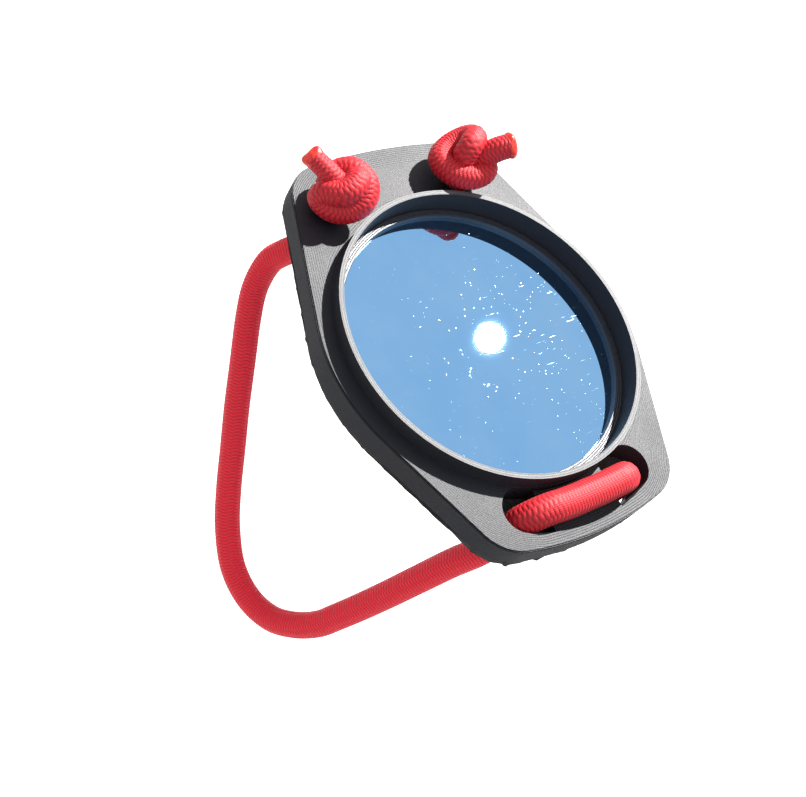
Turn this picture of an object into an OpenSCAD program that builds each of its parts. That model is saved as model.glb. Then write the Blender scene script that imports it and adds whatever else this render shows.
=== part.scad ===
// Strap-on solar filter: a mirror-coated glass disc in a printed plate with a
// raised collar, held on by one length of red shock cord. The cord is tied off
// in two knots at the top, makes a loop behind each side of the plate and
// crosses the front in a curved slot at the bottom.
// The plate lies flat with its front up (+Z) and its knots towards +Y. The
// origin is on the aperture's axis, on the back face that rests on a telescope.

/* [Plate] */
// Radius of the plate's round middle
waist_r = 32; // [31.5:0.5:34]
// Height of the plate's top edge above the aperture's axis
top_y = 41.5; // [41:0.5:43]
// Depth of the plate's bottom edge below the aperture's axis
bottom_y = 38.8; // [38.6:0.1:40]
// Radius of the two upper corners
top_corner_r = 8.6; // [8:0.2:9]
// Radius of the two lower corners
bottom_corner_r = 8.8; // [8:0.2:9.4]
// Thickness of the printed plate
plate_t = 4.6; // [4.4:0.2:6]
// Thickness of the foam seal on the back
seal_t = 1.2; // [1:0.2:2]
// How far the seal stays inside the plate's edge
seal_inset = 0.25; // [0:0.05:0.5]

/* [Filter cell] */
// Radius of the well that the glass drops into
well_r = 28; // [27.5:0.1:28.1]
// Wall of the raised collar
collar_wall = 0.9; // [0.6:0.1:0.9]
// Height of the collar above the plate
collar_h = 3.1; // [2:0.1:5]
// Width of the lip behind the glass
lip_w = 2; // [1:0.2:3]
// Thickness of that lip
lip_t = 0.8; // [0.6:0.1:1]
// Thickness of the glass disc
glass_t = 1.6; // [1:0.2:2]
// Width of the ring that holds the glass in
ring_w = 1.35; // [1:0.05:2]
// Thickness of that ring
ring_t = 0.8; // [0.6:0.1:1]

/* [Cord slot] */
// Outer radius of the curved slot, about the aperture's axis
slot_outer_r = 37; // [36.6:0.1:37.2]
// Angle from the slot's middle to the centre of its round end
slot_half_angle = 22; // [20:1:24]
// Half width of the bridge that the cord crosses
bridge_half_w = 7.6; // [7:0.1:7.6]
// Depth of the bridge below the plate's face
bridge_depth = 1.6; // [1.6:0.1:2]

/* [Cord] */
// Diameter of the shock cord
cord_d = 5.6; // [5:0.1:5.8]
// Distance of each knot's hole from the middle of the plate
hole_x = 13; // [12:0.5:14]
// Height of the knots' holes above the aperture's axis
hole_y = 32; // [31:0.5:33]
// Diameter of the knots' holes
hole_d = 6.6; // [6.2:0.2:7]
// Angle at which each loop leans outwards at rest
splay = 20; // [0:5:40]

/* [Hidden] */
$fn = 120;

// Heights, from the back face up
plate_z = seal_t;
face_z = seal_t + plate_t;
rim_z = face_z + collar_h;
glass_z = plate_z + lip_t;
mirror_z = glass_z + glass_t;
bridge_z = face_z - bridge_depth;

// The plate's four corners: centre and radius
top_corner = [14, 32];
bottom_corner = [13.7, -28.5];
// The top of the plate's edge is laid in thin steps that draw in
edge_steps = [[0.2, 0.25], [0.2, 0.08]];

// The seal fits closely round the cord, with this much room across each hole
seal_gap = 0.6;

// How far the straight flanks lie inside the arcs, so that each crosses them cleanly
tuck = 0.004;

// Curved slot: it starts just outside the collar
slot_inner_r = well_r + collar_wall + 0.1;
slot_mid_r = (slot_inner_r + slot_outer_r) / 2;
slot_end_r = (slot_outer_r - slot_inner_r) / 2;

// Cord
cord_r = cord_d / 2;
bridge_cord_r = 2.6;
cord_sides = 12;
// Each loop turns about the line through its two holes, just below the back face
swing_gap = 0.4;
swing_z = -cord_r - swing_gap;
left_swing = [[-hole_x, hole_y, swing_z], [-hole_x, -31.7, swing_z]];
right_swing = [[hole_x, hole_y, swing_z], [10.4, -32, swing_z]];
// A loop's route in its own plane: distance along the line of the holes,
// measured from the upper hole, and distance away from that line
loop_route = [[0, 0], [-1, 5], [-3, 10], [-4, 14.5], [-2.5, 20], [1, 25], [7, 31.5], [13, 38],
              [19, 44], [25, 50], [31, 55], [38, 58.5], [45, 58.5], [51, 55.5], [55, 50.5],
              [57.5, 45], [58.5, 40], [59.5, 34], [60.5, 27], [61.5, 19], [62.5, 11], [63.5, 5], [63.8, 0]];
// The stretch across the front, from the left hole to the right one
bridge_route = [[-13, -31.7, 0.1], [-13, -31.7, 1.5], [-12.8, -31.7, 2.9], [-12, -31.9, 4.6],
                [-10.4, -32.1, 6.15], [-8.2, -32.3, 6.97], [-6, -32.5, 7.1], [-3, -32.6, 7.1],
                [0, -32.6, 7.1], [3, -32.6, 7.1], [5.8, -32.5, 7.1], [8.1, -32.4, 6.97],
                [9.7, -32.2, 6.15], [10.35, -32.1, 4.7], [10.45, -32, 2.9], [10.4, -32, 1.5],
                [10.4, -32, 0.1]];

// Knots: centre of each body, and where its tail ends
knot_r = 6.2;
knot_half_t = 4.4;
left_knot_at = [-15.2, 31.4, face_z + knot_half_t + 0.05];
right_knot_at = [12.2, 32.8, face_z + knot_half_t + 0.05];
left_tail = [-18.4, 37.4, face_z + 6.8];
right_tail = [19.6, 33, face_z + 6.4];
tip_len = 2.8;

function unit(v) = v / norm(v);

// Normal angle of the outer tangent from the round middle to a corner, on the right
function flank_angle(c, r) =
    let (toward = atan2(c[1], c[0]), spread = acos((waist_r - r) / norm(c)))
    c[1] > 0 ? toward - spread : toward + spread;
function polar(c, r, a) = [c[0] + r * cos(a), c[1] + r * sin(a)];
// Radius of the flat arc that joins two corners and reaches a height beyond their centres
function crown_r(c, r, rise) = (c[0] * c[0] + rise * rise - r * r) / (2 * (rise - r));

module mirrored() {
    children();
    mirror([1, 0]) children();
}

// Shallow crown of the top or bottom edge, between the two corners' arcs
module crown(c, r, edge, h, inset) {
    s = sign(c[1]);
    big = crown_r(c, r, edge - abs(c[1]));
    centre = [0, s * (edge - big)];
    half_w = (c + r * unit(c - centre))[0];
    inner_y = abs(c[1]) - 4;
    intersection() {
        translate(centre) cylinder(r = big - inset, h = h, $fn = 360);
        translate([-half_w, s > 0 ? inner_y : -edge - 1, 0]) cube([2 * half_w, edge + 1 - inner_y, h]);
    }
}

// A slab of the plate's outline, drawn in by an inset all round: the round middle, four
// round corners, the straight flanks that touch them and the two crowned ends
module slab(h, inset = 0) {
    top_a = flank_angle(top_corner, top_corner_r);
    bottom_a = flank_angle(bottom_corner, bottom_corner_r);
    under = inset + tuck;
    right_side = [top_corner, polar(top_corner, top_corner_r - under, top_a),
                  polar([0, 0], waist_r - under, top_a), polar([0, 0], waist_r - under, bottom_a),
                  polar(bottom_corner, bottom_corner_r - under, bottom_a), bottom_corner];
    left_side = [for (i = [len(right_side) - 1:-1:0]) [-right_side[i][0], right_side[i][1]]];
    linear_extrude(h) polygon(concat(right_side, left_side));
    cylinder(r = waist_r - inset, h = h);
    mirrored() {
        translate(top_corner) cylinder(r = top_corner_r - inset, h = h);
        translate(bottom_corner) cylinder(r = bottom_corner_r - inset, h = h);
    }
    crown(top_corner, top_corner_r, top_y, h, inset);
    crown(bottom_corner, bottom_corner_r, bottom_y, h, inset);
}

// The curved slot, round at both ends
module slot_outline() {
    a = slot_half_angle;
    reach = 2 * slot_outer_r;
    intersection() {
        difference() {
            circle(r = slot_outer_r);
            circle(r = slot_inner_r);
        }
        polygon([[0, 0], reach * [sin(a), -cos(a)], reach * [0, -1], reach * [-sin(a), -cos(a)]]);
    }
    mirrored() translate(polar([0, 0], slot_mid_r, a - 90)) circle(r = slot_end_r);
}

// What the slot leaves open right through, on both sides of the bridge
module slot_ends() {
    difference() {
        slot_outline();
        translate([-bridge_half_w, -2 * slot_outer_r]) square([2 * bridge_half_w, 2 * slot_outer_r]);
    }
}

module filter_frame() {
    drawn_in = edge_steps[0][0] + edge_steps[1][0];
    color("#26262b") difference() {
        union() {
            translate([0, 0, plate_z]) slab(plate_t - drawn_in);
            translate([0, 0, plate_z]) slab(plate_t - edge_steps[0][0], edge_steps[1][1]);
            translate([0, 0, plate_z]) slab(plate_t, edge_steps[0][1]);
            translate([0, 0, plate_z]) cylinder(r = well_r + collar_wall, h = rim_z - plate_z);
        }
        translate([0, 0, glass_z]) cylinder(r = well_r, h = rim_z);
        translate([0, 0, -1]) cylinder(r = well_r - lip_w, h = rim_z);
        translate([0, 0, bridge_z]) linear_extrude(rim_z) slot_outline();
        translate([0, 0, -1]) linear_extrude(rim_z + 2) slot_ends();
        for (x = [-hole_x, hole_x]) translate([x, hole_y, -1]) cylinder(d = hole_d, h = rim_z, $fn = 64);
    }
}

module filter_disc() {
    color("#8fb4dc") translate([0, 0, glass_z]) cylinder(r = well_r - 0.2, h = glass_t);
}

module retaining_ring() {
    color("#2c2c31") translate([0, 0, mirror_z]) difference() {
        cylinder(r = well_r - 0.05, h = ring_t);
        translate([0, 0, -1]) cylinder(r = well_r - ring_w - 0.05, h = ring_t + 2);
    }
}

module back_seal() {
    color("#1b1a19") difference() {
        slab(seal_t, seal_inset);
        translate([0, 0, -1]) cylinder(r = well_r - 1, h = seal_t + 2);
        for (swing = [left_swing, right_swing])
            translate([swing[1][0], swing[1][1], -1]) cylinder(d = cord_d + seal_gap, h = seal_t + 2, $fn = 64);
        for (x = [-hole_x, hole_x]) translate([x, hole_y, -1]) cylinder(d = hole_d + 1, h = seal_t + 2, $fn = 64);
    }
}

// Rings of points round a route, each square to it, joined into a closed tube
function heading(route, i) = unit(route[min(i + 1, len(route) - 1)] - route[max(i - 1, 0)]);
function ring(centre, dir, side, r) =
    let (a = unit(cross(side, dir)), b = cross(dir, a))
    [for (k = [0:cord_sides - 1]) centre + r * (cos(360 * k / cord_sides) * a + sin(360 * k / cord_sides) * b)];

// side is a direction that is square to the whole route
module tube(route, side, r) {
    n = len(route);
    m = cord_sides;
    points = [for (i = [0:n - 1]) each ring(route[i], heading(route, i), side, r)];
    walls = [for (i = [0:n - 2], k = [0:m - 1])
        [i * m + k, (i + 1) * m + k, (i + 1) * m + (k + 1) % m, i * m + (k + 1) % m]];
    caps = [[for (k = [0:m - 1]) k], [for (k = [m - 1:-1:0]) (n - 1) * m + k]];
    polyhedron(points, concat(walls, caps), convexity = 4);
}

// A loop in the plane that holds its line of holes and leans out to its side, -1 or 1
module cord_loop(swing, side) {
    along = unit(swing[1] - swing[0]);
    outward = side * unit(cross([0, 0, 1], along));
    away = sin(splay) * outward - [0, 0, cos(splay)];
    route = [for (p = loop_route) swing[0] + p[0] * along + p[1] * away];
    color("#e0222e") tube(route, cross(along, away), cord_r);
}

module left_loop() {
    cord_loop(left_swing, -1);
}

module right_loop() {
    cord_loop(right_swing, 1);
}

// The stretch that crosses the front in the slot and dives through both its ends
module cord_bridge() {
    color("#e0222e") tube(bridge_route, [0, 1, 0], bridge_cord_r);
}

// A round bar with one end on a point, reaching to another
module bar(from, to, r) {
    d = to - from;
    translate(from) rotate([0, acos(d[2] / norm(d)), atan2(d[1], d[0])]) cylinder(r = r, h = norm(d), $fn = 48);
}

// One knot: its neck through the plate, its body on the face and its tail
module knot(at, tail, side) {
    color("#d81f30") {
        translate([side * hole_x, hole_y, 0.1]) cylinder(r = cord_r, h = at[2] - 0.1, $fn = 64);
        translate(at) rotate_extrude() {
            translate([0, -knot_half_t]) square([knot_r - knot_half_t, 2 * knot_half_t]);
            intersection() {
                translate([knot_r - knot_half_t, 0]) circle(r = knot_half_t, $fn = 64);
                translate([0, -knot_half_t]) square(2 * knot_half_t);
            }
        }
        bar(at, tail, bridge_cord_r);
    }
}

module left_knot() {
    knot(left_knot_at, left_tail, -1);
}

module right_knot() {
    knot(right_knot_at, right_tail, 1);
}

// The melted end of a tail, a short blunt cap that runs on in line with it
module cord_tip(at, tail) {
    color("#f2401f") bar(tail, tail + tip_len * unit(tail - at), bridge_cord_r);
}

module left_cord_tip() {
    cord_tip(left_knot_at, left_tail);
}

module right_cord_tip() {
    cord_tip(right_knot_at, right_tail);
}

filter_frame();
filter_disc();
retaining_ring();
back_seal();
cord_bridge();
left_loop();
right_loop();
left_knot();
right_knot();
left_cord_tip();
right_cord_tip();
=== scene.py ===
# %% [markdown]
# # A strap-on solar filter
# A mirror-coated glass disc sits in a black printed plate with a raised collar. One length
# of red elastic cord straps it to a telescope: it is knotted on the face at the top, makes
# a loop behind each side and crosses the front in a curved slot at the bottom.
#
# The plate, the glass and its ring come ready in model.glb. They could be modelled
# again here, but then the two models could drift apart, so their shapes are left alone. What
# the design draws plainly is replaced: the cord with its weave, the knots, the melted ends
# and the foam's cut edge. Every surface then gets a finish made of nodes.

# %% Load the frame
import math
import bmesh
import bpy
import numpy as np
from mathutils import Matrix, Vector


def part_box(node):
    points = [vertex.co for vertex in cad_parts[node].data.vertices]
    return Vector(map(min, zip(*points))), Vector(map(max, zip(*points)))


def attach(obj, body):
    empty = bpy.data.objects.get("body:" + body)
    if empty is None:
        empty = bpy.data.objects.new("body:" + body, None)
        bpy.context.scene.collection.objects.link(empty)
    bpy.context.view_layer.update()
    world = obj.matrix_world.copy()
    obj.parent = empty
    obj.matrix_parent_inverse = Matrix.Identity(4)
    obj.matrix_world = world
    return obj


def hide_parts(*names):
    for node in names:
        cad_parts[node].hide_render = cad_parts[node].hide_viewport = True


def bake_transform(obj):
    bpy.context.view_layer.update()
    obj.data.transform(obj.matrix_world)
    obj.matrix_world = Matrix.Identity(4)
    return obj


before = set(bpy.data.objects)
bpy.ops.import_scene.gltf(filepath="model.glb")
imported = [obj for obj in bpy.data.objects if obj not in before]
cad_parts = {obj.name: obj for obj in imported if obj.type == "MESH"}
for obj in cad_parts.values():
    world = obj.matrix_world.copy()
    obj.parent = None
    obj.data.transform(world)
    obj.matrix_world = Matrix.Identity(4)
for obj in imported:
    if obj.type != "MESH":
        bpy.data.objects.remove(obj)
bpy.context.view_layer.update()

# %% [markdown]
# ## Where things are
# Blender works in metres, and small objects are easier to think about in millimetres, so
# sizes are written as a number times MM. Heights run up from the back face, where z is 0.
# The cord's routes and the outline's sizes repeat the design's own numbers, because
# a mesh can't say what it was drawn from. The top of the collar is read from the plate's
# box instead, so that the painted highlight in its finish stays on the rim.

# %% Sizes
MM = 0.001
rim_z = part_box("filter_frame")[1].z
print("the collar's rim is at", round(rim_z / MM, 2), "mm")

# %% [markdown]
# ## The camera
# The filter is looked at from its lower left, about 21 cm away, with the camera rolled so
# that the knots lean to the left. A camera could be aimed with a Track To constraint, which
# can't set the roll. It is built instead from three plain facts: where it stands, which way
# it looks and which way is up in its picture.

# %% Camera
def stand(thing, x, y, z, at):
    """Places a camera or a light. The columns of its matrix are its own three axes and its
    place, over a last row of 0, 0, 0, 1."""
    turn = np.eye(4)
    turn[:3] = np.column_stack([x, y, z, at])
    thing.matrix_world = Matrix(turn.tolist())


camera_at = np.array([-131.0, -59.5, 157.6]) * MM
looks_along = np.array([0.559, 0.275, -0.782])
picture_up = np.array([0.258, 0.839, 0.480])
LENS_MM = 53.6

cam_z = -looks_along / np.linalg.norm(looks_along)
cam_x = np.cross(picture_up, cam_z)
cam_x /= np.linalg.norm(cam_x)
cam_y = np.cross(cam_z, cam_x)
camera_data = bpy.data.cameras.new("camera")
camera_data.lens = LENS_MM
camera_data.sensor_width = 36
camera_data.clip_start = 0.01
camera = bpy.data.objects.new("camera", camera_data)
bpy.context.scene.collection.objects.link(camera)
stand(camera, cam_x, cam_y, cam_z, camera_at)
bpy.context.scene.camera = camera
print("camera", round(float(np.linalg.norm(camera_at)) / MM), "mm away, lens", LENS_MM, "mm")

# %% [markdown]
# ## Light
# A filter like this is used in full sun. Blender's own Sun lamp could light it, but what
# shows in the mirror should be a bright disc of a chosen size, so a small strong area light
# stands where it glints in the middle of the glass. It also gives the black face its grey
# glare, because the face lies parallel to the mirror. A large soft light fills the shadows.

# %% Lights
def area_light(name, direction, distance, size, watts, colour=(1, 1, 1)):
    """A round light at direction * distance, facing the origin: its own z axis points away
    from the origin, and its x axis is square to that and to +Y."""
    data = bpy.data.lights.new(name, "AREA")
    data.shape = "DISK"
    data.size = size
    data.energy = watts
    data.color = colour
    light = bpy.data.objects.new(name, data)
    bpy.context.scene.collection.objects.link(light)
    z = np.array(direction, float) / np.linalg.norm(direction)
    x = np.cross([0, 1, 0], z)
    x /= np.linalg.norm(x)
    stand(light, x, np.cross(z, x), z, z * distance)
    print(name, watts, "W at", distance, "m")


area_light("sun_lamp", (0.629, 0.283, 0.730), 1.2, 0.034, 52, (1.0, 0.98, 0.95))
area_light("soft_fill", (-0.3, -0.5, 1.0), 1.5, 1.4, 4)

# %% [markdown]
# ## World and floor
# The mirror shows whatever is around it, here a pale world of one colour. A sky texture
# could do this too, but it would tint every shadow. The floor is one large plane, far below,
# since a filter is held up by the telescope it straps to. The colours are shown with the
# Standard display, which keeps a strong red where the default one pales it to pink.

# %% World and floor
bpy.context.scene.view_settings.view_transform = "Standard"

world = bpy.data.worlds.new("pale_world")
bpy.context.scene.world = world
world.use_nodes = True
backdrop = world.node_tree.nodes["Background"].inputs
backdrop["Color"].default_value = (0.93, 0.95, 1.0, 1)
backdrop["Strength"].default_value = 0.75

FLOOR_Z = -0.32
bpy.ops.mesh.primitive_plane_add(size=8, location=(0, 0, FLOOR_Z))
floor = bpy.context.object
floor.name = "floor"
print("floor at", FLOOR_Z, "m, world strength", backdrop["Strength"].default_value)

# %% [markdown]
# ## Paths for the cord
# A cord's route is a short list of points that it passes through. Blender's Bezier curves
# could join them, with two handles to place at every point. A Catmull-Rom curve needs no
# handles: it goes through all the points and bends smoothly in between. The result is
# measured out again in equal steps, so that the weave keeps its size along the cord.

# %% Smooth path through points
def even_steps(line, step):
    """The same line with its points an equal arc length apart: arc length is the running
    sum of the steps, and each coordinate is read off against it."""
    s = np.concatenate([[0], np.cumsum(np.linalg.norm(np.diff(line, axis=0), axis=1))])
    n = max(2, int(round(s[-1] / step)) + 1)
    at = np.linspace(0, s[-1], n)
    return np.stack([np.interp(at, s, line[:, k]) for k in range(3)], 1)


def smooth_path(points, step):
    """Catmull-Rom curve through the points: each span is the cubic whose slope at a point
    is half the chord between its two neighbours. Returned in equal steps of arc length."""
    samples = 24
    p = np.array(points, float)
    p = np.vstack([2 * p[0] - p[1], p, 2 * p[-1] - p[-2]])
    t = np.linspace(0, 1, samples, endpoint=False)[None, :, None]
    a, b, c, d = (p[i:len(p) - 3 + i][:, None, :] for i in range(4))
    spans = 0.5 * (2 * b + (c - a) * t + (2 * a - 5 * b + 4 * c - d) * t**2
                   + (3 * b - a - 3 * c + d) * t**3)
    dense = np.vstack([spans.reshape(-1, 3), p[-2]])
    return even_steps(dense, step)


def path_length(line):
    """The sum of the lengths of a line's steps."""
    return float(np.linalg.norm(np.diff(line, axis=0), axis=1).sum())


bend = smooth_path([(0, 0, 0), (10, 0, 0), (10, 10, 0)], 1.0)
print("a path through three points:", len(bend), "steps,", round(path_length(bend), 1), "long")

# %% [markdown]
# ## The cord's routes
# The cord leaves the plate's back by four holes, two on each side. Each loop is flat, and
# leans outwards by 20 degrees about the line through its two holes. Its route could be
# written in space, but a flat one has two numbers to a point and serves both sides: how far
# along the line of holes, and how far away from it. These routes are the design's own.

# %% Routes of the loops and of the front stretch
SPLAY = math.radians(20)
SWING_Z = -3.2
left_holes = [(-13, 32, SWING_Z), (-13, -31.7, SWING_Z)]
right_holes = [(13, 32, SWING_Z), (10.4, -32, SWING_Z)]
loop_route = [(0, 0), (-1, 5), (-3, 10), (-4, 14.5), (-2.5, 20), (1, 25), (7, 31.5), (13, 38),
              (19, 44), (25, 50), (31, 55), (38, 58.5), (45, 58.5), (51, 55.5), (55, 50.5),
              (57.5, 45), (58.5, 40), (59.5, 34), (60.5, 27), (61.5, 19), (62.5, 11), (63.5, 5), (63.8, 0)]
bridge_route = [(-13, -31.7, 0.1), (-13, -31.7, 1.5), (-12.8, -31.7, 2.9), (-12, -31.9, 4.6),
                (-10.4, -32.1, 6.15), (-8.2, -32.3, 6.97), (-6, -32.5, 7.1), (-3, -32.6, 7.1),
                (0, -32.6, 7.1), (3, -32.6, 7.1), (5.8, -32.5, 7.1), (8.1, -32.4, 6.97),
                (9.7, -32.2, 6.15), (10.35, -32.1, 4.7), (10.45, -32, 2.9), (10.4, -32, 1.5),
                (10.4, -32, 0.1)]


def loop_points(holes, side):
    """The loop's route in metres: its flat route laid in the plane that holds the line of
    its two holes and leans outwards by the splay angle."""
    top, bottom = np.array(holes, float)
    along = (bottom - top) / np.linalg.norm(bottom - top)
    outward = side * np.cross([0, 0, 1], along)
    outward /= np.linalg.norm(outward)
    away = math.sin(SPLAY) * outward - math.cos(SPLAY) * np.array([0, 0, 1])
    flat = np.array(loop_route, float)
    return (top + flat[:, :1] * along + flat[:, 1:] * away) * MM


print("route points:", len(loop_route), "on a loop,", len(bridge_route), "on the front stretch")

# %% [markdown]
# ## A surface from a grid
# A curve object with a round bevel would make a tube in one step, but a smooth one. Here
# every new piece is a grid of points worked out at once with numpy, so its surface can have
# any relief. One helper turns the grid into a mesh: it joins the grid round its second
# parameter and closes both ends with a fan. Its UV map lets a colour follow the weave.

# %% Grid to mesh
def write_uv(mesh, u, v):
    """A UV map from u and v at each vertex. A face that crosses from the last angle back to
    the first has v near 1 and v = 0, and 1 is added at the corners that have 0."""
    corner_vertex = np.zeros(len(mesh.loops), int)
    mesh.loops.foreach_get("vertex_index", corner_vertex)
    corners_each = np.zeros(len(mesh.polygons), int)
    mesh.polygons.foreach_get("loop_total", corners_each)
    face = np.repeat(np.arange(len(corners_each)), corners_each)
    across = v[corner_vertex]
    highest = np.zeros(len(corners_each))
    np.maximum.at(highest, face, across)
    wraps = (highest[face] - across) > 0.5
    layer = mesh.uv_layers.new(name="UVMap")
    layer.data.foreach_set("uv", np.stack([u[corner_vertex], across + wraps], 1).astype(np.float32).ravel())


def grid_mesh(name, grid, uv):
    """A closed tube: grid[i, j] is the point at ring i and angle j, joined round j. Each end
    closes in a fan on the mean of its last ring. uv is a pair of grids, u and v."""
    n, m = grid.shape[:2]
    points = np.vstack([grid.reshape(-1, 3), grid[0].mean(0), grid[-1].mean(0)])
    i, j = np.meshgrid(np.arange(n - 1), np.arange(m), indexing="ij")
    k = (j + 1) % m
    quads = np.stack([i * m + j, i * m + k, (i + 1) * m + k, (i + 1) * m + j], -1).reshape(-1, 4)
    ring = np.arange(m)
    after = (ring + 1) % m
    first = np.stack([np.full(m, n * m), after, ring], 1)
    last = np.stack([np.full(m, n * m + 1), (n - 1) * m + ring, (n - 1) * m + after], 1)
    mesh = bpy.data.meshes.new(name)
    mesh.from_pydata(points.tolist(), [], quads.tolist() + first.tolist() + last.tolist())
    u = np.concatenate([uv[0].reshape(-1), [uv[0][0, 0], uv[0][-1, 0]]])
    v = np.concatenate([uv[1].reshape(-1), [0, 0]])
    write_uv(mesh, u, v)
    mesh.update()
    piece = bpy.data.objects.new(name, mesh)
    bpy.context.scene.collection.objects.link(piece)
    mesh.polygons.foreach_set("use_smooth", np.ones(len(mesh.polygons), bool))
    print(name, "has", len(mesh.polygons), "faces")
    return piece


# %% [markdown]
# ## The cord's sheath
# Shock cord is a rubber core in a woven sheath. The weave shows as short ribs that lie across
# the cord in twelve columns, and each column is about a third of a rib further on than its
# neighbour. A bump map could suggest them, but ribs this size catch the light and break the
# cord's outline, so they are real relief: the tube's radius dips between them.

# %% A woven tube along a path
RIB_MM = 0.65
COLUMNS = 12
SIDES = 48
SHIFT = 0.35
LEAN = 0.25
RELIEF = 0.15 * MM


def carried_frames(path):
    """Two directions square to the path at each point, turned as little as possible from
    one point to the next (each is the last one with its part along the path removed)."""
    way = np.gradient(path, axis=0)
    way /= np.linalg.norm(way, axis=1)[:, None]
    across = np.zeros_like(path)
    last = np.cross(way[0], [0.31, 0.85, 0.42])
    for i, w in enumerate(way):
        last = last - w * (last @ w)
        last /= np.linalg.norm(last)
        across[i] = last
    return across, np.cross(way, across)


def woven_tube(name, path, radius):
    """Point (i, j) = centre i + r (cos j across + sin j up). The radius r dips between ribs:
    r = radius - RELIEF (1 - |cos(pi (s / rib + shift + lean))|^0.6), where the shift is for
    odd columns only and ribs lean one way on odd columns and the other way on even ones. It
    dips again, by 0.3 RELIEF |2 t - 1|^4, where t goes from 0 to 1 across a column."""
    across, up = carried_frames(path)
    s = np.concatenate([[0], np.cumsum(np.linalg.norm(np.diff(path, axis=0), axis=1))])[:, None]
    turn = np.arange(SIDES)[None, :] / SIDES
    column = np.floor(turn * COLUMNS)
    inside = turn * COLUMNS - column
    lean = (inside - 0.5) * LEAN * (1 - 2 * (column % 2))
    rib = np.abs(np.cos(math.pi * (s / (RIB_MM * MM) + SHIFT * (column % 2) + lean)))**0.6
    groove = np.abs(2 * inside - 1)**4
    width = np.broadcast_to(np.asarray(radius, float).reshape(-1, 1), (len(path), 1))
    r = width - RELIEF * (1 - rib) - 0.3 * RELIEF * groove
    angle = 2 * math.pi * turn
    grid = (path[:, None, :] + (r * np.cos(angle))[:, :, None] * across[:, None, :]
            + (r * np.sin(angle))[:, :, None] * up[:, None, :])
    uv = (np.broadcast_to(s * 1000 / RIB_MM, r.shape), np.broadcast_to(turn, r.shape))
    return grid_mesh(name, grid, uv)


# %% [markdown]
# ## The loops
# Each loop starts inside its knot's hole, turns down behind the plate and comes back up
# through the slot. Each is built as one mesh of its own, in the place where it hangs, and
# is not attached to the plate or to any other body.

# %% Loops
LOOP_R = 2.55 * MM
LOOP_STEP = 0.108 * MM


def loop_path(holes, side):
    """The loop's route with a short straight lead at each end, up into its hole: a point
    straight above the route's end at each of two heights."""
    points = loop_points(holes, side)
    top, bottom = points[0], points[-1]
    lead_in = [top * [1, 1, 0] + [0, 0, 2.6 * MM], top * [1, 1, 0] + [0, 0, -0.2 * MM]]
    lead_out = [bottom * [1, 1, 0] + [0, 0, -0.2 * MM], bottom * [1, 1, 0] + [0, 0, 1.2 * MM]]
    return smooth_path(np.vstack([lead_in, points, lead_out]), LOOP_STEP)


cords = []
for name, holes, side in (("left", left_holes, -1), ("right", right_holes, 1)):
    path = loop_path(holes, side)
    cord = woven_tube(name + "_loop_cord", path, LOOP_R)
    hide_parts(name + "_loop")
    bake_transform(cord)
    cords.append(cord)
    print(cord.name, "length", round(path_length(path) * 1000, 1), "mm")

# %% [markdown]
# ## The front stretch
# Between the loops the same cord crosses the face in the slot, over a bridge, and dives
# through the plate at both ends. It could be one mesh with the loops, but it stays with the
# plate when they swing, so it is a piece of its own that rides the plate.

# %% Front stretch
BRIDGE_R = 2.7 * MM
FINE_STEP = 0.08 * MM
bridge_path = smooth_path(np.array(bridge_route) * MM, FINE_STEP)
bridge = woven_tube("bridge_cord", bridge_path, BRIDGE_R)
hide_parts("cord_bridge")
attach(bridge, "filter")
cords.append(bridge)
print("front stretch", round(path_length(bridge_path) * 1000, 1), "mm")

# %% [markdown]
# ## The melted ends
# The cut end of a shock cord is melted so that it can't fray, and sets as a glossy lump. It
# could be sculpted by hand, but a formula can be run again: a ball whose radius grows or
# shrinks near a few chosen directions.

# %% A melted end
def melted_tip(name, at, way, size, lobes):
    """A closed lumpy ball: radius = size (1 + bumps), each bump its height times
    exp((cosine of the angle from the bump's own direction - 1) / its width)."""
    bands, sides = 40, 64
    v = np.linspace(0, math.pi, bands)[1:-1, None]
    u = np.arange(sides)[None, :] * (2 * math.pi / sides)
    ways = np.stack([np.sin(v) * np.cos(u), np.sin(v) * np.sin(u), np.cos(v) + 0 * u], -1)
    r = np.ones(ways.shape[:2])
    for lobe, height, width in lobes:
        toward = np.array(lobe) / np.linalg.norm(lobe)
        r = r + height * np.exp((ways @ toward - 1) / width)
    z = way / np.linalg.norm(way)
    x = np.cross(cam_z, z)
    x /= np.linalg.norm(x)
    axes = np.array([x, np.cross(z, x), z])
    grid = at + (ways * r[..., None] * np.array(size)) @ axes
    return grid_mesh(name, grid[:, ::-1], (0 * r, 0 * r))


# %% [markdown]
# ## The knots
# Each end of the cord is knotted tight against the plate. Cloth or rope simulation could
# pull a knot tight, but it seldom stops in the pose one wants. A knot is drawn here as a
# path like any other, in a frame that is easy to think in: right, down and towards the eye
# of someone who looks from the camera's side. Its strands press into each other a little.

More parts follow.
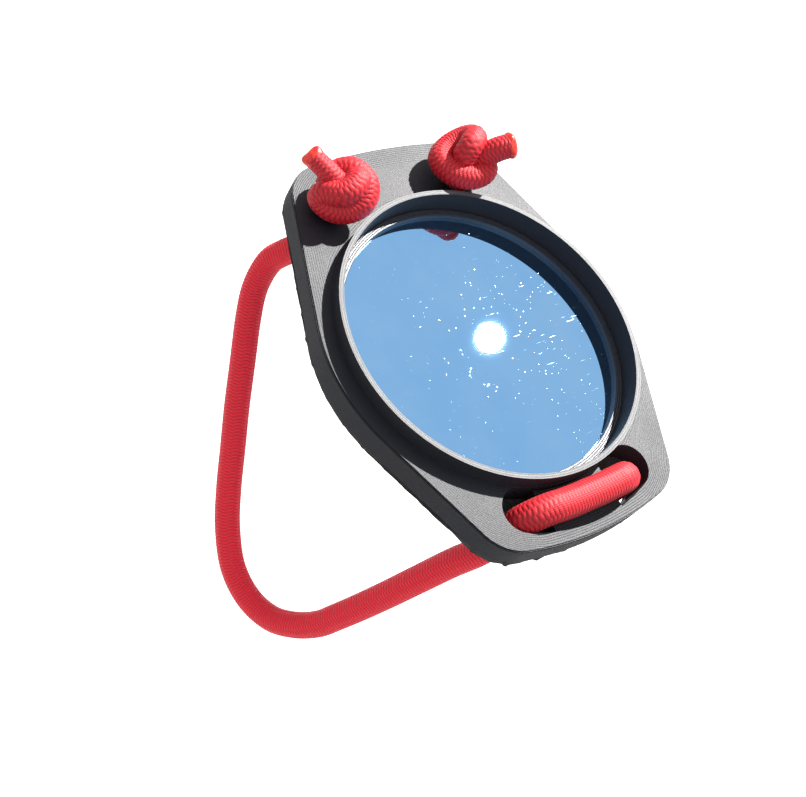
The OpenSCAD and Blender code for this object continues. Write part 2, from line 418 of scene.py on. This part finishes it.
# %% Knots
KNOT_R = 2.4
TAIL_STEPS = 8
left_knot_at = np.array([-15.2, 31.4, 10.25])
right_knot_at = np.array([12.2, 32.8, 10.25])
left_turns = [(-0.3, 1.3, -6.2), (-0.6, 0.9, -3.8), (-2.6, -1.0, -2.0), (-1.2, -3.1, -0.7),
              (1.5, -3.4, 0.1), (3.7, -1.2, 0.4), (3.4, 1.7, 0.5), (1.0, 3.3, 0.5),
              (-1.8, 3.2, 0.8), (-3.8, 1.5, 1.1), (-2.6, 0.8, 2.3), (-0.2, 1.0, 3.0),
              (1.7, 0.0, 2.7), (2.5, -1.6, 1.6), (1.4, -1.9, 0.2), (-0.4, -0.9, 0.7),
              (-1.4, -1.5, 2.0), (-2.6, -2.8, 2.9), (-3.8, -4.0, 3.1), (-4.7, -4.8, 3.1)]
right_turns = [(-0.8, 3.0, -5.4), (-0.5, 1.8, -3.4), (2.0, -0.4, -2.4), (4.2, 0.8, -0.9),
               (3.7, 2.4, 0.8), (1.2, 3.3, 1.8), (-2.0, 2.4, 2.0), (-3.9, -0.1, 1.0),
               (-2.4, -2.6, -0.6), (0.4, -4.2, -0.8), (2.2, -4.0, 0.9), (1.7, -2.4, 2.8),
               (0.6, -0.5, 2.4), (1.0, 0.7, 0.7), (2.8, 0.2, 0.3), (4.6, -0.9, 1.5),
               (6.6, -1.7, 2.2), (8.7, -2.3, 2.3)]


def from_eye(at, turns):
    """Point = knot's place + right * a - up * b + towards the eye * c."""
    a = np.array(turns, float)
    return (at + a[:, :1] * cam_x - a[:, 1:2] * cam_y + a[:, 2:] * cam_z) * MM


tips = []
for name, at, turns, end_r, tip_size, lobes in (
        ("left", left_knot_at, left_turns, 1.8, (1.85, 1.6, 1.7),
         [((1, 0.2, 1.1), 0.30, 0.10), ((-1, 0.3, 0.6), 0.25, 0.12), ((0, 0, 1), -0.25, 0.03)]),
        ("right", right_knot_at, right_turns, 2.3, (2.5, 2.2, 1.3),
         [((0.5, 1, 0.8), 0.16, 0.1), ((0, -1, 0.7), 0.14, 0.08), ((0, 0, 1), -0.2, 0.03)])):
    knot_path = smooth_path(from_eye(at, turns), FINE_STEP)
    toward_end = np.clip(np.linspace(-3, 1, len(knot_path)), 0, 1)
    knot = woven_tube(name + "_knot_cord", knot_path, (KNOT_R + (end_r - KNOT_R) * toward_end) * MM)
    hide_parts(name + "_knot")
    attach(knot, "filter")
    cords.append(knot)
    way = knot_path[-1] - knot_path[-TAIL_STEPS]
    tip = melted_tip(name + "_melted_end", knot_path[-1], way, np.array(tip_size) * MM, lobes)
    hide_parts(name + "_cord_tip")
    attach(tip, "filter")
    tips.append(tip)
    print(knot.name, "length", round(path_length(knot_path) * 1000, 1), "mm")

# %% [markdown]
# ## The hand-cut foam
# A thin foam seal is stuck to the plate's back. Its edge looks as if it was cut with a blade
# afterwards: it wanders, with small tabs and nicks, most of all along the bottom. A Displace
# modifier could push it about, but the design's seal has long straight edges with nothing in
# between to move. So a merged copy has its outer edges cut into short pieces first, and then
# every corner on them is pushed in or out.

# %% Where the seal may be cut
HOLE_ROOM = 4.3 * MM
OUTSIDE_R = 29.5 * MM
LONGEST_EDGE = 0.7 * MM
hole_centres = np.array(left_holes + right_holes)[:, :2] * MM


def numbers(items, field, width=1, kind=float):
    """One field of every element of a mesh as an array, with a row for each element."""
    values = np.zeros(len(items) * width, kind)
    items.foreach_get(field, values)
    return values.reshape(-1, width) if width > 1 else values


def on_outer_edge(places):
    """Outside the glass opening and away from the four cord holes: far enough from the
    aperture's axis, and from the nearest hole's centre."""
    from_hole = np.linalg.norm(places[:, None, :2] - hole_centres, axis=2).min(1)
    from_axis = np.linalg.norm(places[:, :2], axis=1)
    return (from_hole > HOLE_ROOM) & (from_axis > OUTSIDE_R)


def edges_to_cut(mesh):
    """The level edges of the outer walls that are still too long. A wall is a face whose
    normal is nearly level."""
    places = numbers(mesh.vertices, "co", 3)
    ends = numbers(mesh.edges, "vertices", 2, int)
    step = places[ends[:, 0]] - places[ends[:, 1]]
    wall = np.abs(numbers(mesh.polygons, "normal", 3)[:, 2]) < 0.5
    wall_corner = np.repeat(wall, numbers(mesh.polygons, "loop_total", kind=int))
    on_wall = np.zeros(len(mesh.edges), bool)
    on_wall[numbers(mesh.loops, "edge_index", kind=int)[wall_corner]] = True
    long_level = (np.linalg.norm(step, axis=1) > LONGEST_EDGE) & (np.abs(step[:, 2]) < 1e-6)
    return np.flatnonzero(long_level & on_wall & on_outer_edge(places)[ends].all(1))


print("cord holes to keep clear of:", len(hole_centres))

# %% Ragged seal
SEAL_T = 1.2 * MM
PASSES = 6


def wander(angle, rng):
    """Sum of four waves round the outline, each of random phase, and a sharp tab where the
    product of two faster waves is near its crest."""
    waves = np.array([17, 31, 53, 88])
    slow = np.sin(angle[:, None] * waves + rng.uniform(0, 6.3, 4)) @ np.array([0.05, 0.05, 0.05, 0.04])
    fast = np.sin(angle * 61 + 1.3) * np.sin(angle * 23 + 0.4)
    return slow + 0.36 * np.clip(fast - 0.55, 0, None) / 0.45


seal_copy = bmesh.new()
seal_copy.from_mesh(bpy.data.objects["back_seal"].data)
bmesh.ops.remove_doubles(seal_copy, verts=seal_copy.verts, dist=2e-6)
seal_mesh = bpy.data.meshes.new("hand_cut_seal")
for _ in range(PASSES):
    seal_copy.to_mesh(seal_mesh)
    chosen = edges_to_cut(seal_mesh)
    if not len(chosen):
        break
    seal_copy.edges.ensure_lookup_table()
    bmesh.ops.subdivide_edges(seal_copy, edges=[seal_copy.edges[k] for k in chosen], cuts=1)
bmesh.ops.triangulate(seal_copy, faces=seal_copy.faces)
seal_copy.to_mesh(seal_mesh)
seal_copy.free()

corners = numbers(seal_mesh.vertices, "co", 3)
outer = on_outer_edge(corners)
angle = np.arctan2(corners[:, 1], corners[:, 0])
push = wander(angle + 0.02 * corners[:, 2] / SEAL_T, np.random.default_rng(7))
push *= np.where(corners[:, 1] < -0.015, 1.0, 0.45) * outer * MM
corners[:, :2] += push[:, None] * corners[:, :2] / np.linalg.norm(corners[:, :2], axis=1)[:, None]
seal_mesh.vertices.foreach_set("co", corners.ravel())
seal_mesh.update()
seal = bpy.data.objects.new("hand_cut_seal", seal_mesh)
bpy.context.scene.collection.objects.link(seal)
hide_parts("back_seal")
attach(seal, "filter")
print("seal corners moved:", int(outer.sum()), "most", round(float(push.max()) * 1000, 2), "mm")

# %% [markdown]
# ## Shader maths in Python
# A finish is a graph of nodes. It could be wired by hand, one Math node at a time, but it is
# easier to read as an expression. One class holds the material, and its one method adds any
# node. The other wraps a socket, so that the usual operators add Math nodes.

# %% Sockets as numbers
class Paint:
    """A material under construction and the nodes in it."""

    def __init__(self, name):
        self.material = bpy.data.materials.new(name)
        self.material.use_nodes = True
        self.nodes = self.material.node_tree.nodes
        self.links = self.material.node_tree.links
        self.shader = self.nodes["Principled BSDF"]

    def feed(self, socket, value):
        """A link into the socket if the value is one, or else a constant."""
        if isinstance(value, Sock):
            self.links.new(value.socket, socket)
        else:
            socket.default_value = value

    def node(self, kind, settings=None, out=0, **sockets):
        """Any node: its settings first, then values or links by socket name, or by number
        as i0, i1 and so on."""
        made = self.nodes.new(kind)
        for key, value in (settings or {}).items():
            setattr(made, key, value)
        for key, value in sockets.items():
            numbered = key[0] == "i" and key[1:].isdigit()
            self.feed(made.inputs[int(key[1:]) if numbered else key], value)
        return Sock(self, made.outputs[out])

    def put(self, **sockets):
        """Values or links into the surface shader."""
        for key, value in sockets.items():
            self.feed(self.shader.inputs[key.replace("_", " ")], value)

    def done(self):
        """The finished material."""
        print(self.material.name, "has", len(self.nodes), "nodes")
        return self.material


class Sock:
    """One output socket that adds Math nodes when it is reckoned with."""

    def __init__(self, paint, socket):
        self.paint = paint
        self.socket = socket

    def maths(self, operation, *others):
        """A Math node with this socket as its first value."""
        values = {"i%d" % (k + 1): v for k, v in enumerate(others)}
        return self.paint.node("ShaderNodeMath", {"operation": operation}, i0=self, **values)

    def __add__(self, other):
        return self.maths("ADD", other)

    def __mul__(self, other):
        return self.maths("MULTIPLY", other)

    def __sub__(self, other):
        return self.maths("SUBTRACT", other)

    def __rsub__(self, other):
        return self * -1 + other

    __radd__ = __add__
    __rmul__ = __mul__

    def step(self, low, high):
        """Smoothstep from 0 at low to 1 at high."""
        return self.paint.node("ShaderNodeMapRange", {"interpolation_type": "SMOOTHSTEP"},
                               i0=self, i1=low, i2=high)


# %% [markdown]
# ## What the finishes share
# Every finish starts from the same few things. Patterns could be laid on with UV maps, but
# the plate has none, so they read Object coordinates, turned into millimetres. Fine relief
# goes through a Bump node, since lines a fraction of a millimetre apart are too small to model.

# %% Shared steps
def millimetres(paint):
    """Object coordinates times 1000."""
    place = paint.node("ShaderNodeTexCoord", out=3)
    return paint.node("ShaderNodeVectorMath", {"operation": "SCALE"}, i0=place, Scale=1 / MM)


def part_of(paint, vector, axis):
    """One number of a vector: 0 for x, 1 for y and 2 for z."""
    return paint.node("ShaderNodeSeparateXYZ", out=axis, i0=vector)


def noise(paint, vector, scale, detail=3.0, rough=0.55):
    """Noise of about 0 to 1, with scale cells to a millimetre."""
    return paint.node("ShaderNodeTexNoise", i0=vector, Scale=scale, Detail=detail, Roughness=rough)


def ridges(value, pitch):
    """Sine of 2 pi value / pitch: a ridge once in every pitch."""
    return (value * (2 * math.pi / pitch)).maths("SINE")


def mixed(paint, amount, a, b):
    """Colour a where amount is 0, b where it is 1."""
    return paint.node("ShaderNodeMix", {"data_type": "RGBA"}, out=2, i0=amount, i6=a, i7=b)


def bumped(paint, height, distance_mm, strength):
    """Relief from a height, where a height of 1 stands for the distance."""
    bump = paint.node("ShaderNodeBump", Height=height, Distance=distance_mm * MM, Strength=strength)
    paint.put(Normal=bump)


# %% [markdown]
# ## How deep inside the outline
# A printer's nozzle follows the plate's outline in ever smaller laps, so the lines on the
# face run parallel to its edge. They could be modelled as grooves, at a great cost in faces.
# As a pattern they only need the distance in from the edge. The outline is made of straight
# flanks, a round middle and two crowned ends, and where two of them meet the corner is round.

# %% Depth inside the plate's outline
WAIST_R = 32.0
TOP_Y = 41.5
BOTTOM_Y = 38.8
CORNER_R = 8.6
CROWN = 0.006


def outline_depth(x, y, radius):
    """Depth below the sides = the lesser depth below the two flanks, or WAIST_R - radius by
    the waist. Depth below the ends = height left to the crown, which falls off as CROWN x^2.
    Near a corner the two join as CORNER_R - sqrt(a^2 + b^2), where a and b are what each
    falls short of CORNER_R by."""
    across = x.maths("ABSOLUTE")
    flanks = []
    for angle in (17.0, -21.5):
        c = math.cos(math.radians(angle))
        s = math.sin(math.radians(angle))
        flanks.append(WAIST_R - (across * c + y * s))
    side = flanks[0].maths("MINIMUM", flanks[1])
    in_waist = (across * math.tan(math.radians(19)) - y.maths("ABSOLUTE")).step(-1.0, 1.0)
    side = side + in_waist * ((WAIST_R - radius) - side)
    to_top = TOP_Y - y - across * across * CROWN
    to_bottom = y + BOTTOM_Y - across * across * CROWN
    ends = to_top.maths("MINIMUM", to_bottom)
    short_side = (CORNER_R - side).maths("MAXIMUM", 0.0)
    short_end = (CORNER_R - ends).maths("MAXIMUM", 0.0)
    return CORNER_R - (short_side * short_side + short_end * short_end).maths("SQRT")


# %% [markdown]
# ## Printed plastic
# The plate is black printed plastic. Besides the laps along its edge it has rings round the
# collar, slanting fill lines between them and layer lines up its walls. A picture of a print
# could be wrapped round it, but it wouldn't follow this outline. The lines are sines, each
# kept to its own zone by a mask. The rim of the collar is painted paler, as a highlight.

# %% Printed plastic
def printed_plastic():
    """Height = sines with a pitch of 0.42 mm of depth by the edge, 0.45 mm of radius by the
    collar, 0.62 mm of x + y between and 0.2 mm of z on the walls, and a fine grain."""
    p = Paint("printed_plastic")
    vector = millimetres(p)
    x, y, z = [part_of(p, vector, axis) for axis in range(3)]
    radius = (x * x + y * y).maths("SQRT")
    depth = outline_depth(x, y, radius)
    up = part_of(p, p.node("ShaderNodeNewGeometry", out=1), 2)
    flat = up.maths("ABSOLUTE").step(0.5, 0.8)
    drift = noise(p, vector, 0.25) * 0.5
    edge_lines = ridges(depth + drift * 0.15, 0.42)
    near_edge = 1.0 - depth.step(3.6, 4.4)
    ring_lines = ridges(radius, 0.45)
    near_ring = 1.0 - radius.step(30.4, 31.0)
    fill_lines = ridges(x + y, 0.62)
    face = edge_lines * near_edge + ring_lines * near_ring * (1.0 - near_edge)
    face = face + fill_lines * (1.0 - near_edge) * (1.0 - near_ring) * 0.35
    grain = noise(p, vector, 7.0, 6.0, 0.7)
    height = face * flat * 0.3 + ridges(z, 0.2) * (1.0 - flat) * 0.5 + grain * 2.0
    patch = noise(p, vector, 0.12)
    speck = noise(p, vector, 11.0, 2.0).step(0.66, 0.74)
    dark = mixed(p, patch, (0.005, 0.0055, 0.010, 1), (0.010, 0.011, 0.017, 1))
    # Painted highlight: the top of the collar's rim is painted paler.
    rim_highlight = z.step(rim_z / MM - 0.3, rim_z / MM - 0.1) * flat * (0.6 + grain * 0.6)
    black = mixed(p, speck * 0.35 + face * flat * 0.02, dark, (0.11, 0.115, 0.13, 1))
    p.put(Base_Color=mixed(p, rim_highlight * (0.75 + ring_lines * 0.25), black, (0.11, 0.11, 0.115, 1)),
          Roughness=0.36 + patch * 0.12 + grain * 0.1 + (1.0 - flat) * 0.3, Specular_IOR_Level=0.45)
    bumped(p, height, 0.05, 0.6)
    return p.done()


plate_finish = printed_plastic()

# %% [markdown]
# ## Coated glass
# The coating is a mirror with a cool blue cast. A Glass shader could be put under a thin
# metal one, but so little light comes through that a tinted metal looks the same and is
# quicker. Real coatings are never quite clean: they have pinholes, dust and wiping marks.

# %% Coated glass
def coated_glass():
    """A metal with a blue tint. Dust = thin peaks of a fine noise; wiping marks = thin peaks
    of a noise that is stretched a long way along one direction."""
    p = Paint("coated_glass")
    vector = millimetres(p)
    side = part_of(p, vector, 0).step(0.0, 16.0)
    dust = noise(p, vector, 3.4, 2.0).step(0.742, 0.775) * (0.3 + side * 0.7)
    stretched = p.node("ShaderNodeMapping", i0=vector, Rotation=(0, 0, 0.9), Scale=(0.16, 4.5, 1))
    wiped = noise(p, stretched, 1.0, 2.0).step(0.70, 0.76) * side
    haze = noise(p, vector, 0.09, 3.0)
    tint = mixed(p, haze, (0.26, 0.58, 1.0, 1), (0.38, 0.68, 1.0, 1))
    marks = dust.maths("MAXIMUM", wiped * 0.22)
    p.put(Base_Color=mixed(p, marks, tint, (0.5, 0.58, 0.66, 1)), Metallic=1.0 - marks * 0.8,
          Roughness=0.003 + haze * 0.003 + marks * 0.4)
    bumped(p, haze, 0.01, 0.05)
    return p.done()


glass_finish = coated_glass()

# %% [markdown]
# ## The ring round the glass
# A thin ring holds the glass in. It is a shinier black than the plate, with lines that run
# round the aperture. Grooves could be turned into its mesh, but it is seen only as a narrow
# band, where a bump pattern that depends on the distance from the axis does as well.

# %% Ring
def ring_plastic():
    """Satin black with lines round the aperture, r = sqrt(x^2 + y^2), every 0.4 mm."""
    p = Paint("ring_plastic")
    vector = millimetres(p)
    x, y = [part_of(p, vector, axis) for axis in range(2)]
    radius = (x * x + y * y).maths("SQRT")
    rough = noise(p, vector, 1.6, 4.0)
    p.put(Base_Color=mixed(p, rough, (0.012, 0.014, 0.022, 1), (0.045, 0.05, 0.065, 1)),
          Roughness=0.22 + rough * 0.25)
    bumped(p, ridges(radius, 0.4) * 0.5 + rough * 1.4, 0.06, 0.7)
    return p.done()


ring_finish = ring_plastic()

# %% [markdown]
# ## Foam
# The seal is dull black foam with closed cells. Cells could be cut into the mesh with a
# boolean, far too many to be worth it on a strip a millimetre thick. A Voronoi texture is
# made of cells already, and its distance from each cell's middle serves as the height.

# %% Foam
def foam():
    """Closed-cell foam: round pits where the distance to a cell's middle is least."""
    p = Paint("foam")
    vector = millimetres(p)
    cells = p.node("ShaderNodeTexVoronoi", i0=vector, Scale=3.2)
    shade = noise(p, vector, 1.2, 4.0)
    p.put(Base_Color=mixed(p, shade, (0.012, 0.011, 0.011, 1), (0.04, 0.037, 0.034, 1)),
          Roughness=0.82 + shade * 0.1)
    bumped(p, cells + shade * 0.5, 0.15, 0.8)
    return p.done()


foam_finish = foam()

# %% [markdown]
# ## The sheath's colour
# Each yarn's crown is painted a lighter red, as a highlight, and the groove beside it a
# darker red, as painted shade. One flat red would hide the weave in the shade. The colour
# could be painted on by hand, but it has to agree with the relief, so the same formula is
# written again in nodes, on the cord's own UV map. The loops get a lighter red still, as
# painted light, so that they look more brightly lit.

# %% Cord sheath
def cord_sheath(name, groove_shade_red, crown_highlight_red):
    """Crown = |cos(pi (u + shift + lean))|, with u counting ribs, v once round, and the shift
    and lean of the woven tube. Four fine threads run along each column."""
    p = Paint(name)
    vector = millimetres(p)
    uv = p.node("ShaderNodeUVMap", {"uv_map": "UVMap"})
    u = part_of(p, uv, 0)
    strand = part_of(p, uv, 1) * COLUMNS
    half = (strand.maths("FLOOR") * 0.5).maths("FRACT")
    lean = (strand.maths("FRACT") - 0.5) * LEAN * (1.0 - half * 4.0)
    crown = ((u + half * (2 * SHIFT) + lean) * math.pi).maths("COSINE").maths("ABSOLUTE")
    fuzz = noise(p, vector, 5.0, 5.0, 0.7)
    # Painted highlight on the crowns and painted shade in the grooves, on top of the relief.
    red = mixed(p, crown * 0.75 + fuzz * 0.45 - 0.12, groove_shade_red, crown_highlight_red)
    p.put(Base_Color=red, Roughness=0.5 + fuzz * 0.2, Sheen_Weight=0.08, Sheen_Roughness=0.4,
          Sheen_Tint=(1.0, 0.55, 0.6, 1))
    bumped(p, ridges(strand, 0.25) * 0.25 + fuzz, 0.06, 0.6)
    return p.done()


sheath = cord_sheath("cord_sheath", (0.22, 0.0006, 0.004, 1), (0.62, 0.004, 0.015, 1))
# Painted light: a lighter copy of the sheath, for the loops.
painted_light_sheath = cord_sheath("painted_light_cord_sheath", (0.46, 0.001, 0.008, 1), (0.95, 0.006, 0.030, 1))

# %% [markdown]
# ## Melted nylon
# Where the sheath was melted it ran together and set smooth, more orange than the weave. A
# second colour could be masked onto the cord, but the lump is a piece of its own and takes a
# simple finish: glossy, with a thin clear coat and two soft noises for runs and pits.

# %% Melted end
def melted_end():
    """Nylon that ran and set again: glossy orange-red, darker where it charred a little."""
    p = Paint("melted_end")
    vector = millimetres(p)
    runs = noise(p, vector, 0.9, 4.0)
    pits = noise(p, vector, 4.0, 3.0)
    p.put(Base_Color=mixed(p, runs.step(0.35, 0.65), (0.50, 0.002, 0.004, 1), (0.86, 0.035, 0.008, 1)),
          Roughness=0.18 + pits * 0.25, Coat_Weight=0.4)
    bumped(p, pits + runs * 2, 0.12, 0.5)
    return p.done()


melt = melted_end()

# %% [markdown]
# ## The floor's finish
# The floor is pale matt board. One flat colour would do, but the mirror shows it from some
# sides, and a very soft mottle keeps it from looking like an empty background.

# %% Floor
def studio_floor():
    """Two pale greys mixed by a noise with cells of 50 mm."""
    p = Paint("studio_floor")
    soft = noise(p, millimetres(p), 0.02)
    p.put(Base_Color=mixed(p, soft, (0.56, 0.56, 0.555, 1), (0.61, 0.61, 0.605, 1)), Roughness=0.7)
    return p.done()


floor.data.materials.append(studio_floor())

# %% [markdown]
# ## Putting the finishes on
# The design's own pieces come with a plain material in a slot, and new ones have no slot
# yet. Both could be handled by clearing the slots first, but the faces of a design piece
# may point at them, so a slot that is there has its material changed and stays.

# %% Put the finishes on
def finish_node(node, material):
    """Gives all of a design piece one material, in the slots that it has."""
    piece = bpy.data.objects[node]
    for place in piece.material_slots:
        place.material = material
    if not piece.material_slots:
        piece.data.materials.append(material)


finish_node("filter_frame", plate_finish)
finish_node("filter_disc", glass_finish)
finish_node("retaining_ring", ring_finish)
seal.data.materials.append(foam_finish)
for cord in cords:
    # The loops take the lighter, painted-light copy of the sheath.
    cord.data.materials.append(painted_light_sheath if "loop" in cord.name else sheath)
for tip in tips:
    tip.data.materials.append(melt)
print("finished:", 3, "design pieces,", len(cords), "stretches of cord,", len(tips), "melted ends, the seal")
